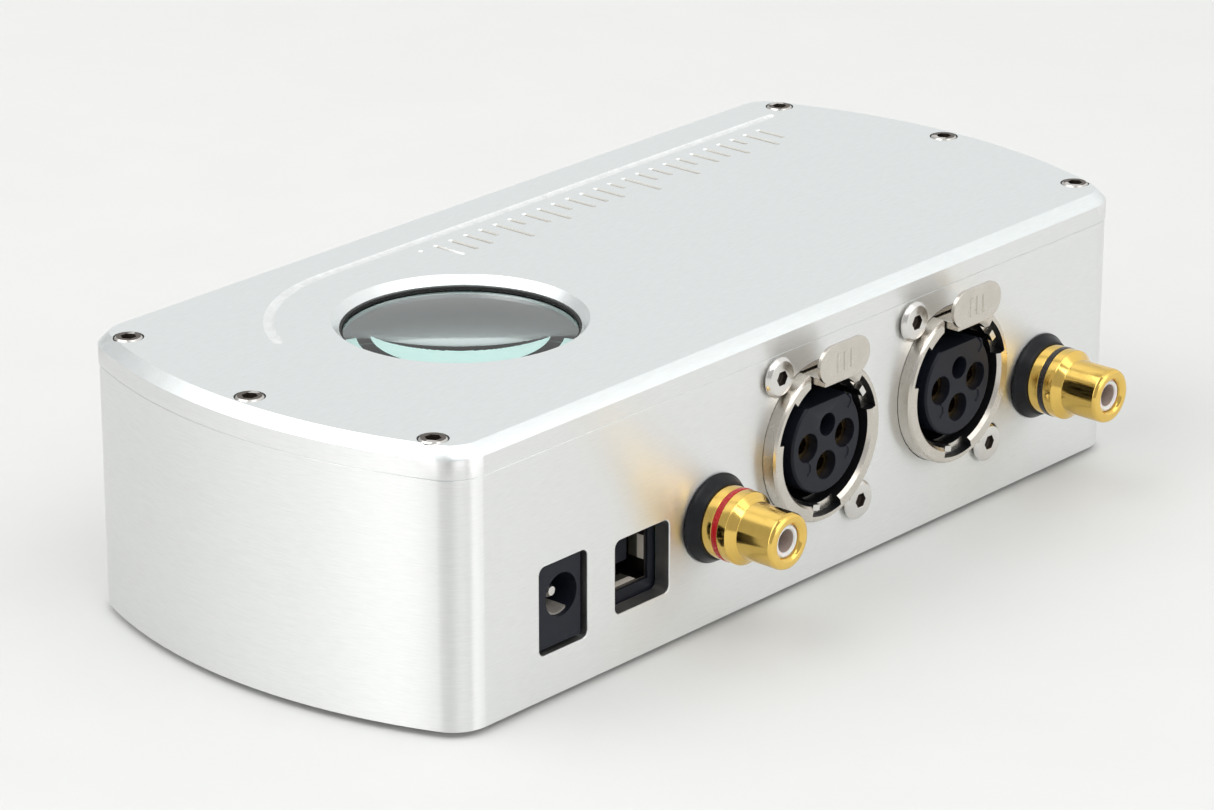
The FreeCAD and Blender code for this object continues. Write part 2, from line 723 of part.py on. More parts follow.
def make_xlr_latch(side, x):
    """Push tab with a slide bar that runs into the shell and a tooth for the plug."""
    name = f"{side}_latch"
    half = "latch_half_width"
    bar = box(name + "_bar", (f"{x} - {half}", f"{x} + {half}"), rear_span("-10.5", "tab_back"),
              ("xlr_height + 9.9", "xlr_height + 11"))
    riser = box(name + "_riser", (f"{x} - {half}", f"{x} + {half}"), rear_span("3.4", "tab_back"),
                ("xlr_height + 9.9", "xlr_height + 12.6"))
    tooth = box(name + "_tooth", (f"{x} - 2.5", f"{x} + 2.5"), rear_span("-8", "-6"),
                ("xlr_height + 8.9", "xlr_height + 9.9"))
    middle_z = "xlr_height + tab_height"
    reach = "(tab_half_width - tab_radius)"
    faces = rear_span("tab_back", "tab_front")
    pieces = [bar, riser, tooth,
              box(name + "_tab", (f"{x} - {reach}", f"{x} + {reach}"), faces,
                  (f"{middle_z} - tab_radius", f"{middle_z} + tab_radius"))]
    for sx in ("+", "-"):
        pieces.append(rod(name + "_tab_end", "tab_radius", "y", (f"{x} {sx} {reach}", middle_z), faces))
    for offset in (-1.5, 0.0, 1.5):
        pieces.append(box(name + "_rib", (f"{x} + {offset} - 0.3", f"{x} + {offset} + 0.3"),
                          rear_span("tab_front", "tab_front + 0.15"),
                          (f"{middle_z} - 1.4", f"{middle_z} + 1.4")))
    return node(fuse(name, pieces), name)


def make_latch_spring(side, x):
    """Compression coil between the slide bar's end and the end of the shell's slot."""
    name = f"{side}_latch_spring"
    coil = doc.addObject("Part::Helix", name + "_coil")
    coil.Placement = FreeCAD.Placement(FreeCAD.Vector(), TURNS["y"])
    coil.Radius = 0.7
    coil.Pitch = 0.82
    coil.Height = 4.1
    wire = doc.addObject("Part::Circle", name + "_wire")
    wire.Radius = 0.17
    start_y = rear("-14.8")
    place(coil, x, start_y, "xlr_height + 10.35")
    place(wire, f"{x} + 0.7", start_y, "xlr_height + 10.35")
    sweep = doc.addObject("Part::Sweep", name + "_sweep")
    sweep.Sections = [wire]
    sweep.Spine = (coil, [])
    sweep.Solid = True
    sweep.Frenet = True
    return node(sweep, name)


def make_xlr_screws(side, x):
    """Two low flat-head screws that hold the shell's flange against the panel."""
    name = f"{side}_screws"
    screws = []
    for i, (sx, sz) in enumerate((("+", "+"), ("-", "-"))):
        middle = (f"{x} {sx} panel_screw_x", f"xlr_height {sz} panel_screw_height")
        under = cone(f"{name}_{i}_under", ("2.4", "3.0"), "y", middle, rear_span("0", "0.4"))
        rim = rod(f"{name}_{i}_rim", "3.0", "y", middle, rear_span("0.4", "0.65"))
        bevel = cone(f"{name}_{i}_bevel", ("3.0", "2.5"), "y", middle, rear_span("0.65", "1.15"))
        shank = rod(f"{name}_{i}_shank", "1.4", "y", middle, rear_span("-wall - 2.3", "0"))
        socket = hexagon(f"{name}_{i}_socket", "2.0", "y", middle, rear_span("0.3", "2"))
        screws.append(cut(f"{name}_{i}", fuse(f"{name}_{i}_solid", [under, rim, bevel, shank]), [socket]))
    return node(group(name, screws), name)


def make_xlr(side, x):
    make_xlr_shell(side, x)
    make_xlr_insert(side, x)
    make_xlr_contacts(side, x)
    make_xlr_ground(side, x)
    make_xlr_latch(side, x)
    make_latch_spring(side, x)
    make_xlr_screws(side, x)


# ---- phono sockets ----

def make_rca(side, x):
    """Gold body through an insulating bush, with a colour ring, and its washer, tag and nut inside."""
    middle = (x, "rca_height")

    def turned_piece(piece, profile):
        stations = [(radius, rear(station)) for radius, station in profile]
        node(revolved(f"{side}_{piece}_turned", "y", middle, stations), f"{side}_{piece}")

    turned_piece("body", [
        ("2.45", "-12"), ("rca_thread", "-12"), ("rca_thread", "bush_thickness"),
        ("rca_collar", "bush_thickness"), ("rca_collar", "3.76"), ("4.8", "3.76"), ("4.8", "4.76"),
        ("rca_collar", "4.76"), ("rca_collar", "6.2"), ("rca_collar - 0.15", "6.35"),
        ("rca_barrel", "7.45"), ("rca_barrel", "rca_reach - 0.6"),
        ("rca_barrel - 0.18", "rca_reach - 0.18"), ("rca_barrel - 0.6", "rca_reach"),
        ("2.8", "rca_reach"), ("2.45", "rca_reach - 0.35")])
    turned_piece("bush", [
        ("rca_thread + 0.05", "-wall"), ("4.9", "-wall"), ("4.9", "0"), ("bush_radius", "0"),
        ("bush_radius", "0.3"), ("bush_radius - 0.9", "bush_thickness"),
        ("rca_thread + 0.05", "bush_thickness")])
    turned_piece("colour_ring", ring_profile("4.85", "5.36", "3.78", "4.74"))
    turned_piece("insulator", [
        ("1.65", "-13"), ("2.4", "-13"), ("2.4", "rca_reach - 0.6"), ("1.85", "rca_reach - 0.6"),
        ("1.65", "rca_reach - 0.8")])
    turned_piece("washer", ring_profile("rca_thread + 0.05", "bush_radius", "-wall - 1", "-wall"))

    sleeve = tube(f"{side}_contact_sleeve", "1.62", "1.35", "y", middle, rear_span("-15", "8"))
    leg = rod(f"{side}_contact_leg", "0.5", "z", (x, rear("-14.4")), (BOARD_TOP, "rca_height - 1.4"))
    node(fuse(f"{side}_contact_solid", [sleeve, leg]), f"{side}_contact")
    plate = rear_span("-wall - 1.5", "-wall - 1")
    eye = tube(f"{side}_tag_eye", "6.0", "rca_thread + 0.05", "y", middle, plate)
    strip = box(f"{side}_tag_strip", (f"{x} - 1.25", f"{x} + 1.25"), plate,
                (BOARD_TOP, "rca_height - 4.5"))
    node(fuse(f"{side}_tag_solid", [eye, strip]), f"{side}_ground_tag")
    nut = rear_span("-wall - 4", "-wall - 1.5")
    hexed = hexagon(f"{side}_nut_hex", "11.0", "y", middle, nut)
    bore = rod(f"{side}_nut_bore", "rca_thread + 0.05", "y", middle, rear_span("-wall - 5", "0"))
    node(cut(f"{side}_nut_solid", hexed, [bore]), f"{side}_nut")


# ---- power inlet and data socket ----

def make_dc_jack():
    middle = ("jack_hole_x", "jack_hole_height")
    body = box("jack_block", ("jack_x - 4.25", "jack_x + 4.25"), rear_span("-14.4", "-0.7"),
               (BOARD_TOP, "19.1"))
    nose = box("jack_nose", ("jack_x - 4.25", "jack_x + 4.25"), rear_span("-2.5", "-0.7"),
               ("7.0", BOARD_TOP))
    well = rod("jack_well", "3.15", "y", middle, rear_span("-11", "1"))
    node(cut("dc_jack_block", fuse("jack_block_and_nose", [body, nose]), [well]), "dc_jack_housing")
    stem = rod("jack_pin_stem", "1.0", "y", middle, rear_span("-11", "-2.9"))
    tip = cone("jack_pin_tip", ("1.0", "0.65"), "y", middle, rear_span("-2.9", "-2.4"))
    node(fuse("jack_pin_solid", [stem, tip]), "dc_jack_pin")
    leaf = tube("jack_leaf_tube", "3.1", "2.8", "y", middle, rear_span("-11", "-1.4"))
    leaf_width = box("jack_leaf_width", ("jack_hole_x - 1.6", "jack_hole_x + 3.0"), rear_span("-11", "-1.4"),
                     ("jack_hole_height - 3.2", "jack_hole_height - 0.9"))
    node(common("jack_leaf", [leaf, leaf_width]), "dc_jack_leaf")


def frame_tube(name, wide, high, skin, span):
    """A square tube about the data socket's axis."""
    def block(label, half_wide, half_high, reach):
        return box(name + label, (f"usb_x - {half_wide}", f"usb_x + {half_wide}"), reach,
                   (f"usb_height - {half_high}", f"usb_height + {half_high}"))
    outer = block("_outer", wide, high, span)
    inner = block("_inner", wide - skin, high - skin, (f"{span[0]} - 1", f"{span[1]} + 1"))
    return cut(name, outer, [inner])


def usb_fingers():
    """Contact fingers just inside the liner's mouth, one on each of its four walls."""
    reach = rear_span("-wall - 3.4", "-wall - 0.6")
    fingers = []
    for near, far in (("-4.4", "-4.15"), ("4.15", "4.4")):
        fingers.append(box("usb_side_finger", (f"usb_x + {near}", f"usb_x + {far}"), reach,
                           ("usb_height - 1.5", "usb_height + 2.0")))
    for near, far in (("-4.1", "-3.85"), ("3.85", "4.1")):
        fingers.append(box("usb_flat_finger", ("usb_x - 2.4", "usb_x + 2.4"), reach,
                           (f"usb_height + {near}", f"usb_height + {far}")))
    return fingers


def make_usb():
    """Square data socket: plastic housing, metal liner, tongue and four contacts."""
    shell = box("usb_block", ("usb_x - 6", "usb_x + 6"), rear_span("-19", "-wall - 0.3"),
                (BOARD_TOP, "19.2"))
    lip = box("usb_lip", ("usb_x - 6", "usb_x + 6"), rear_span("-wall - 0.5", "-wall - 0.3"),
              ("7.0", BOARD_TOP))
    mouth = box("usb_mouth", ("usb_x - 4.65", "usb_x + 4.65"), rear_span("-15", "0"),
                ("usb_height - 4.35", "usb_height + 4.35"))
    node(cut("usb_housing_solid", fuse("usb_block_and_lip", [shell, lip]), [mouth]), "usb_housing")
    liner = frame_tube("usb_liner_tube", 4.65, 4.35, 0.35, rear_span("-15", "-wall - 0.6"))
    node(fuse("usb_liner_sprung", [liner] + usb_fingers()), "usb_liner")
    node(box("usb_tongue_block", ("usb_x - 2.8", "usb_x + 2.8"), rear_span("-15", "-5.2"),
             ("usb_height - 1.6", "usb_height + 1.6")), "usb_tongue")
    strips = []
    for sx in ("-", "+"):
        for low, high in (("- 1.75", "- 1.6"), ("+ 1.6", "+ 1.75")):
            middle = f"usb_x {sx} 1.25"
            strips.append(box("usb_strip", (f"{middle} - 0.5", f"{middle} + 0.5"),
                              rear_span("-15", "-5.8"), (f"usb_height {low}", f"usb_height {high}")))
    node(group("usb_strips", strips), "usb_contacts")


# ---- circuit board ----

def make_board():
    """Board with a notch along its rear edge that clears the balanced sockets' flanges."""
    body = new_body("board_body")
    outline = new_sketch(body, "board_outline", "XY_Plane", ("0", "0", "board_bottom"))
    add_outline(outline, [
        ("-board_half_length", "board_front_y"), ("board_half_length", "board_front_y"),
        ("board_half_length", "board_rear_y"), ("xlr_right_x + 14", "board_rear_y"),
        ("xlr_right_x + 14", "board_notch_y"), ("xlr_left_x - 14", "board_notch_y"),
        ("xlr_left_x - 14", "board_rear_y"), ("-board_half_length", "board_rear_y")])
    pad(body, "board_plate", outline, "board_thickness")
    holes = new_sketch(body, "board_holes", "XY_Plane", ("0", "0", BOARD_TOP))
    for x, y in board_screw_places():
        add_circle(holes, x, y, "1.25")
    pocket(body, "board_drilling", holes, "board_thickness + 1")
    node(body, "main_board")
    screws = [socket_screw(f"board_screw_{i}", x, y, BOARD_TOP, ("2.2", "1.5", "2.0"), ("1.0", "5.6"))
              for i, (x, y) in enumerate(board_screw_places())]
    node(group("board_screw_group", screws), "board_screws")


def on_board(name, x, y, size):
    """A block that stands on the board, centred on x and y."""
    wide, deep, tall = size
    return box(name, (f"{x} - {wide / 2}", f"{x} + {wide / 2}"), (f"{y} - {deep / 2}", f"{y} + {deep / 2}"),
               (BOARD_TOP, f"{BOARD_TOP} + {tall}"))


def make_board_parts():
    node(on_board("processor", 24, -12, (14, 14, 1.4)), "processor_chip")
    node(on_board("converter", -24, -10, (10, 10, 1.2)), "dac_chip")
    node(on_board("usb_controller", 37, 7, (9, 9, 0.9)), "usb_controller_chip")
    node(on_board("regulator", 54, 2, (6.5, 10, 2.3)), "regulator_chip")
    node(on_board("inductor", 54, -12, (7, 7, 4)), "power_inductor")
    node(on_board("oscillator", 8, -14, (5, 3.2, 1.2)), "crystal_oscillator")
    cans = []
    for x, y, radius, tall in ((-52, -12, 5.0, 12.5), (-40, -12, 5.0, 12.5), (-52, 4, 3.15, 7.7),
                               (-42, 4, 3.15, 7.7), (-10, -18, 3.15, 7.7), (42, -20, 3.15, 7.7)):
        cans.append(rod("capacitor", radius, "z", (x, y), (BOARD_TOP, f"{BOARD_TOP} + {tall}")))
    node(group("capacitor_group", cans), "capacitors")


# ---- checks and files ----

def check_objects():
    """Stop if any object failed, or if a sub-part's shape is missing or not valid."""
    for obj in doc.Objects:
        if {"Invalid", "Error"} & set(obj.State):
            raise SystemExit(f"{obj.Name} failed: {obj.State}")
    for obj in nodes:
        if obj.Shape.isNull() or not obj.Shape.isValid() or not obj.Shape.Solids:
            raise SystemExit(f"{obj.Label} has no valid solid")


def write_files():
    os.makedirs("parts", exist_ok=True)
    for obj in nodes:
        obj.Shape.exportStep(os.path.join("parts", obj.Label + ".step"))


def main():
    fill_sheet()
    make_casing()
    make_cover()
    make_cover_screws()
    make_lens()
    make_lens_ring()
    make_feet()
    for side in ("xlr_right", "xlr_left"):
        make_xlr(side, side + "_x")
    for side in ("rca_right", "rca_left"):
        make_rca(side, side + "_x")
    make_dc_jack()
    make_usb()
    make_board()
    make_board_parts()
    doc.recompute()
    check_objects()
    write_files()
    print(len(nodes), "sub-parts written")


main()
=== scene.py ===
"""Looks of the desktop DAC: brushed aluminium casing, lens, gold and nickel sockets, soft studio light.

Metres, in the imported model's own frame: X along the casing, +Y out of the socket panel, Z up.
"""
import json
import math

import bmesh
import bpy
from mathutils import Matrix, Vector


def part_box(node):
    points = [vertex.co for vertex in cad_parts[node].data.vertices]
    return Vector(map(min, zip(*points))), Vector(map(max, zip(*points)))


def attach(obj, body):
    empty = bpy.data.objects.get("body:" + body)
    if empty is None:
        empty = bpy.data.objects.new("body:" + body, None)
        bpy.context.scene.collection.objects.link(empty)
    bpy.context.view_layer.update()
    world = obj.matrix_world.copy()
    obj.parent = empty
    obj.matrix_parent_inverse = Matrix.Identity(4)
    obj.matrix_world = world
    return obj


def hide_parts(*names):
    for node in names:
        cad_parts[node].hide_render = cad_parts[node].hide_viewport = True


MM = 0.001

# camera: a long lens looking down on the rear right corner
CAMERA_TARGET = Vector((0.0, -0.00985, 0.0178))
CAMERA_DISTANCE = 0.72
CAMERA_AZIMUTH = math.radians(131.488)
CAMERA_ELEVATION = math.radians(21.023)
CAMERA_LENS = 144.7
SENSOR_WIDTH = 36.0

# brightness of the room by heading, in degrees from +X towards +Y
ROOM_PEAK = 2.3
ROOM = ((-180, 0.86), (-125, 0.86), (-95, 0.55), (-55, 0.78), (-20, 1.2), (-6, 2.1), (1, 2.1), (8, 0.50),
        (93, 0.50), (97, 1.9), (122, 1.9), (131, 1.05), (180, 0.95))

# soft lights: place and size in metres, power in watts
SOFTBOXES = (("side_softbox", (0.55, -0.5, 1.1), (1.0, 1.0), 5.0),
             ("front_softbox", (0.3, 0.75, 1.0), (0.6, 0.6), 3.5))
FLOOR_REACH = 3.0

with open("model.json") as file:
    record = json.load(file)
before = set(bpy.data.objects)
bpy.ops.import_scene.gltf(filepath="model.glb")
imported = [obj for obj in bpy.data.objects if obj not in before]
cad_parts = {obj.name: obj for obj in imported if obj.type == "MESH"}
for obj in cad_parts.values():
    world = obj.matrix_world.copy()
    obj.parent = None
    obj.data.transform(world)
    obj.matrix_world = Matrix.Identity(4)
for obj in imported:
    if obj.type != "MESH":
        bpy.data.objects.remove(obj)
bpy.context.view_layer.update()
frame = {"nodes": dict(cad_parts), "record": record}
BODY_OF = {node: body for body, group in frame["record"]["behaviour"]["bodies"].items() for node in group}
SLOT_OF = {part["node"]: part["material_slot"] for part in frame["record"]["subparts"]}


# ---- materials ----

class Surface:
    """A procedural material being put together round a Principled shader."""

    def __init__(self, name, **sockets):
        self.material = bpy.data.materials.new(name)
        self.material.use_nodes = True
        self.tree = self.material.node_tree
        self.shader = self.tree.nodes["Principled BSDF"]
        for socket, setting in sockets.items():
            self.shader.inputs[socket.replace("_", " ")].default_value = setting

    def add(self, kind, settings=None, **sockets):
        node = self.tree.nodes.new(kind)
        for name, setting in (settings or {}).items():
            setattr(node, name, setting)
        for socket, setting in sockets.items():
            node.inputs[socket.replace("_", " ")].default_value = setting
        return node

    def link(self, source, target):
        self.tree.links.new(source, target)

    def grain(self, scale, detail=3.0, roughness=0.6):
        """Noise in the object's own metres, stretched by a scale for each axis."""
        place = self.add("ShaderNodeTexCoord")
        stretch = self.add("ShaderNodeMapping")
        stretch.inputs["Scale"].default_value = scale
        noise = self.add("ShaderNodeTexNoise", Scale=1.0, Detail=detail, Roughness=roughness)
        self.link(place.outputs["Object"], stretch.inputs["Vector"])
        self.link(stretch.outputs["Vector"], noise.inputs["Vector"])
        return noise.outputs["Fac"]

    def ranged(self, value, low, high, start=0.25, end=0.75):
        """A value between start and end, spread from low to high."""
        spread = self.add("ShaderNodeMapRange")
        for socket, number in (("From Min", start), ("From Max", end), ("To Min", low), ("To Max", high)):
            spread.inputs[socket].default_value = number
        self.link(value, spread.inputs["Value"])
        return spread.outputs["Result"]

    def blend(self, value, low, high):
        """A colour between low and high, chosen by a value from 0 to 1."""
        mix = self.add("ShaderNodeMix", {"data_type": "RGBA"})
        colours = [socket for socket in mix.inputs if socket.type == "RGBA"]
        colours[0].default_value = (*low, 1.0)
        colours[1].default_value = (*high, 1.0)
        self.link(value, mix.inputs[0])
        return next(socket for socket in mix.outputs if socket.type == "RGBA")

    def colour(self, value, low, high):
        self.link(self.blend(self.ranged(value, 0.0, 1.0), low, high), self.shader.inputs["Base Color"])

    def roughness(self, value, low, high):
        self.link(self.ranged(value, low, high), self.shader.inputs["Roughness"])

    def bump(self, value, depth, strength=1.0):
        """Raise the surface by up to depth, in metres."""
        bump = self.add("ShaderNodeBump", Strength=strength, Distance=depth)
        self.link(value, bump.inputs["Height"])
        self.link(bump.outputs["Normal"], self.shader.inputs["Normal"])

    def brushed(self, amount, axis="Z"):
        """Stretch highlights across brush lines that run round an axis of the object."""
        tangent = self.add("ShaderNodeTangent", {"direction_type": "RADIAL", "axis": axis})
        self.shader.inputs["Anisotropic"].default_value = amount
        self.shader.inputs["Anisotropic Rotation"].default_value = 0.25
        self.link(tangent.outputs["Tangent"], self.shader.inputs["Tangent"])


def casing_aluminium():
    """Clear-anodised walls, brushed level all the way round in short dashes."""
    surface = Surface("casing_aluminium", Metallic=1.0)
    dashes = surface.grain((1000, 1000, 5600), detail=2.0)
    surface.colour(surface.grain((420, 420, 6000)), (0.825, 0.833, 0.825), (0.885, 0.893, 0.885))
    surface.roughness(surface.grain((45, 45, 5000)), 0.34, 0.42)
    surface.bump(dashes, 0.02 * MM, 0.8)
    surface.brushed(0.95)
    return surface.material


def cover_aluminium():
    """Clear-anodised plate with a fine, short grain along its length."""
    surface = Surface("cover_aluminium", Metallic=1.0)
    lines = surface.grain((500, 4200, 4200), detail=4.0)
    surface.colour(lines, (0.79, 0.83, 0.828), (0.86, 0.892, 0.888))
    surface.roughness(surface.grain((300, 1500, 1500)), 0.30, 0.42)
    surface.bump(lines, 0.010 * MM, 0.5)
    return surface.material


def plain_metal(name, low, high, roughness, grain=(350, 350, 350), depth=0.0003, **sockets):
    surface = Surface(name, Metallic=1.0, **sockets)
    speckle = surface.grain(grain, detail=2.0)
    surface.colour(speckle, low, high)
    surface.roughness(speckle, *roughness)
    surface.bump(speckle, depth * MM, 0.4)
    return surface.material


def plain_plastic(name, low, high, roughness, grain=(1400, 1400, 1400), depth=0.003, **sockets):
    surface = Surface(name, **sockets)
    speckle = surface.grain(grain, detail=3.0)
    surface.colour(speckle, low, high)
    surface.roughness(speckle, *roughness)
    surface.bump(speckle, depth * MM, 0.5)
    return surface.material


def lens_glass():
    surface = Surface("lens_glass", Transmission_Weight=1.0, IOR=1.48)
    smears = surface.grain((60, 60, 60), detail=2.0)
    surface.colour(smears, (0.80, 0.95, 0.93), (0.82, 0.96, 0.94))
    surface.roughness(smears, 0.0, 0.02)
    return surface.material


def floor_paper():
    surface = Surface("floor_paper", Roughness=0.6)
    surface.shader.inputs["Specular IOR Level"].default_value = 0.3
    fibres = surface.grain((40, 40, 40), detail=5.0)
    surface.colour(fibres, (0.708, 0.714, 0.700), (0.726, 0.732, 0.718))
    surface.bump(surface.grain((600, 600, 600)), 0.02 * MM, 0.3)
    return surface.material


NICKEL = (0.60, 0.565, 0.51), (0.66, 0.62, 0.565)
BRIGHT_NICKEL = (0.70, 0.68, 0.65), (0.76, 0.74, 0.71)
BLACK = (0.008, 0.0085, 0.010), (0.012, 0.013, 0.016)


def make_materials():
    return {
        "casing_aluminium": casing_aluminium(),
        "cover_aluminium": cover_aluminium(),
        "inner_aluminium": plain_metal("inner_aluminium", (0.3, 0.3, 0.31), (0.36, 0.36, 0.37), (0.4, 0.5)),
        "steel_screws": plain_metal("steel_screws", (0.58, 0.56, 0.53), (0.66, 0.64, 0.61), (0.2, 0.3)),
        "lens_glass": lens_glass(),
        "black_rubber": plain_plastic("black_rubber", (0.012, 0.012, 0.012), (0.03, 0.03, 0.03), (0.6, 0.8)),
        "spring_steel": plain_metal("spring_steel", (0.42, 0.41, 0.38), (0.5, 0.49, 0.46), (0.2, 0.3)),
        "warm_nickel": plain_metal("warm_nickel", *NICKEL, (0.24, 0.30)),
        "bright_nickel": plain_metal("bright_nickel", *BRIGHT_NICKEL, (0.18, 0.26)),
        "black_plastic": plain_plastic("black_plastic", (0.008, 0.010, 0.016), (0.012, 0.014, 0.022),
                                       (0.36, 0.44), Specular_IOR_Level=0.2),
        "bush_plastic": plain_plastic("bush_plastic", *BLACK, (0.30, 0.40), Specular_IOR_Level=0.2),
        "gold_contacts": plain_metal("gold_contacts", (0.30, 0.20, 0.09), (0.38, 0.26, 0.12), (0.2, 0.3)),
        "gold_plating": plain_metal("gold_plating", (0.80, 0.53, 0.13), (0.87, 0.60, 0.16), (0.10, 0.16),
                                    grain=(300, 6000, 300)),
        "red_ring": plain_plastic("red_ring", (0.42, 0.006, 0.008), (0.50, 0.010, 0.012), (0.22, 0.30)),
        "black_ring": plain_plastic("black_ring", (0.012, 0.009, 0.009), (0.02, 0.014, 0.014), (0.22, 0.30)),
        "white_plastic": plain_plastic("white_plastic", (0.76, 0.75, 0.75), (0.82, 0.81, 0.81), (0.3, 0.45),
                                       Subsurface_Weight=0.3, Subsurface_Scale=0.001),
        "circuit_board": plain_plastic("circuit_board", (0.01, 0.06, 0.04), (0.02, 0.09, 0.06), (0.25, 0.35)),
        "chip_plastic": plain_plastic("chip_plastic", (0.015, 0.015, 0.015), (0.03, 0.03, 0.03), (0.4, 0.6)),
        "capacitor_cans": plain_metal("capacitor_cans", (0.6, 0.6, 0.6), (0.7, 0.7, 0.7), (0.25, 0.35)),
        # painted shade in the balanced sockets' reliefs and deep inside their shells
        "relief_painted_shade": plain_plastic("relief_painted_shade", (0.006, 0.006, 0.007), (0.010, 0.010, 0.012), (0.4, 0.55),
                                     Specular_IOR_Level=0.2),
        # painted shade, with a brownish painted reflection, in the screws' drive sockets
        "drive_painted_shade": plain_metal("drive_painted_shade", (0.10, 0.085, 0.075), (0.16, 0.135, 0.115), (0.35, 0.5)),
        # warm painted shade inside the phono insulators' bores
        "bore_painted_shade": plain_plastic("bore_painted_shade", (0.42, 0.34, 0.30), (0.50, 0.41, 0.37), (0.4, 0.5)),
        # the lens's ground edge and painted crescent; the crescent is a painted reflection and the emission a
        # painted glow
        "ground_glass_painted_glow": plain_plastic("ground_glass_painted_glow", (0.78, 0.94, 0.91), (0.84, 0.98, 0.95), (0.5, 0.6),
                                      Emission_Color=(0.70, 1.0, 0.93, 1), Emission_Strength=0.22),
        "lens_seat": plain_plastic("lens_seat", (0.80, 0.92, 0.90), (0.86, 0.97, 0.95), (0.3, 0.4)),
        # painted highlight on the milled line and painted glints on the bars' heads
        "milled_painted_highlight": plain_metal("milled_painted_highlight", (0.86, 0.88, 0.875), (0.93, 0.95, 0.945),
                                        (0.42, 0.55), grain=(900, 900, 900)),
        # painted shade in the engraved bars
        "engraved_painted_shade": plain_metal("engraved_painted_shade", (0.50, 0.49, 0.45), (0.58, 0.57, 0.53), (0.45, 0.6)),
        # painted shade on the walls of the casing's openings
        "opening_painted_shade": plain_metal("opening_painted_shade", (0.46, 0.45, 0.43), (0.54, 0.53, 0.51), (0.35, 0.45)),
        # painted shade down the data socket's tunnel; painted highlight on the finger tips, painted shade on
        # their roots
        "tunnel_painted_shade": plain_metal("tunnel_painted_shade", (0.08, 0.075, 0.07), (0.12, 0.112, 0.105), (0.3, 0.4)),
        "finger_tip_painted_highlight": plain_plastic("finger_tip_painted_highlight", (0.72, 0.66, 0.58), (0.80, 0.74, 0.66), (0.3, 0.4)),
        "finger_root_painted_shade": plain_metal("finger_root_painted_shade", (0.44, 0.42, 0.34), (0.52, 0.50, 0.42), (0.4, 0.5)),
        "dull_spring": plain_plastic("dull_spring", (0.24, 0.22, 0.20), (0.32, 0.30, 0.27), (0.35, 0.45)),
    }


MATERIALS = make_materials()


# ---- stage ----

def make_floor():
    """A pale sheet that runs far past the object."""
    reach = FLOOR_REACH
    mesh = bpy.data.meshes.new("floor_sheet")
    corners = [(-reach, -reach, 0), (reach, -reach, 0), (reach, reach, 0), (-reach, reach, 0)]
    mesh.from_pydata(corners, [], [(0, 1, 2, 3)])
    floor = bpy.data.objects.new("floor_sheet", mesh)
    bpy.context.scene.collection.objects.link(floor)
    floor.data.materials.append(floor_paper())


def make_world():
    """A bright room whose walls differ with heading, dark where the photographer stands."""
    world = bpy.data.worlds.new("studio")
    bpy.context.scene.world = world
    world.use_nodes = True
    nodes = world.node_tree.nodes
    links = world.node_tree.links
    where = nodes.new("ShaderNodeTexCoord")
    axes = nodes.new("ShaderNodeSeparateXYZ")
    heading = nodes.new("ShaderNodeMath")
    heading.operation = "ARCTAN2"
    spread = nodes.new("ShaderNodeMapRange")
    spread.inputs["From Min"].default_value = -math.pi
    spread.inputs["From Max"].default_value = math.pi
    ramp = nodes.new("ShaderNodeValToRGB")
    stops = ramp.color_ramp.elements
    while len(stops) < len(ROOM):
        stops.new(0.5)
    for stop, (degrees, level) in zip(stops, ROOM):
        stop.position = (degrees + 180) / 360
        stop.color = (*[level / ROOM_PEAK] * 3, 1)
    links.new(where.outputs["Generated"], axes.inputs["Vector"])
    links.new(axes.outputs["Y"], heading.inputs[0])
    links.new(axes.outputs["X"], heading.inputs[1])
    links.new(heading.outputs["Value"], spread.inputs["Value"])
    links.new(spread.outputs["Result"], ramp.inputs["Fac"])
    links.new(ramp.outputs["Color"], nodes["Background"].inputs["Color"])
    nodes["Background"].inputs["Strength"].default_value = ROOM_PEAK


def area_light(name, place, size, power):
    light = bpy.data.lights.new(name, "AREA")
    light.shape = "RECTANGLE"
    light.size, light.size_y = size
    light.energy = power
    lamp = bpy.data.objects.new(name, light)
    lamp.location = place
    lamp.rotation_euler = (CAMERA_TARGET - Vector(place)).to_track_quat("-Z", "Y").to_euler()
    bpy.context.scene.collection.objects.link(lamp)


def make_camera():
    camera = bpy.data.cameras.new("camera")
    camera.lens = CAMERA_LENS
    camera.sensor_width = SENSOR_WIDTH
    camera.clip_start = 0.01
    eye = bpy.data.objects.new("camera", camera)
    back = Vector((math.sin(CAMERA_AZIMUTH) * math.cos(CAMERA_ELEVATION),
                   -math.cos(CAMERA_AZIMUTH) * math.cos(CAMERA_ELEVATION),
                   math.sin(CAMERA_ELEVATION)))
    eye.location = CAMERA_TARGET + back * CAMERA_DISTANCE
    eye.rotation_euler = back.to_track_quat("Z", "Y").to_euler()
    bpy.context.scene.collection.objects.link(eye)
    bpy.context.scene.camera = eye


# ---- mesh helpers ----

def add_piece(name, mesh, nodes, slots=None):
    """Show a mesh in place of CAD nodes, on their body and with their material slot's finish."""
    piece = bpy.data.objects.new(name, mesh)
    bpy.context.scene.collection.objects.link(piece)
    own_slot = SLOT_OF[nodes[0]]
    for finish in slots or [own_slot]:
        mesh.materials.append(MATERIALS[finish])
    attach(piece, BODY_OF[nodes[0]])
    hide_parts(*nodes)
    return piece


def joined_copy(node):
    """A CAD node's mesh with its seams joined."""
    work = bmesh.new()
    work.from_mesh(frame["nodes"][node].data)
    bmesh.ops.remove_doubles(work, verts=work.verts, dist=1e-7)
    return work


def clean_copy(node):
    """A CAD node's mesh with its seams joined and its flat faces whole."""
    work = joined_copy(node)
    bmesh.ops.dissolve_limit(work, angle_limit=math.radians(0.6), verts=work.verts, edges=work.edges)
    return work


def smooth(mesh, angle=35.0):
    mesh.shade_smooth()
    mesh.set_sharp_from_angle(angle=math.radians(angle))


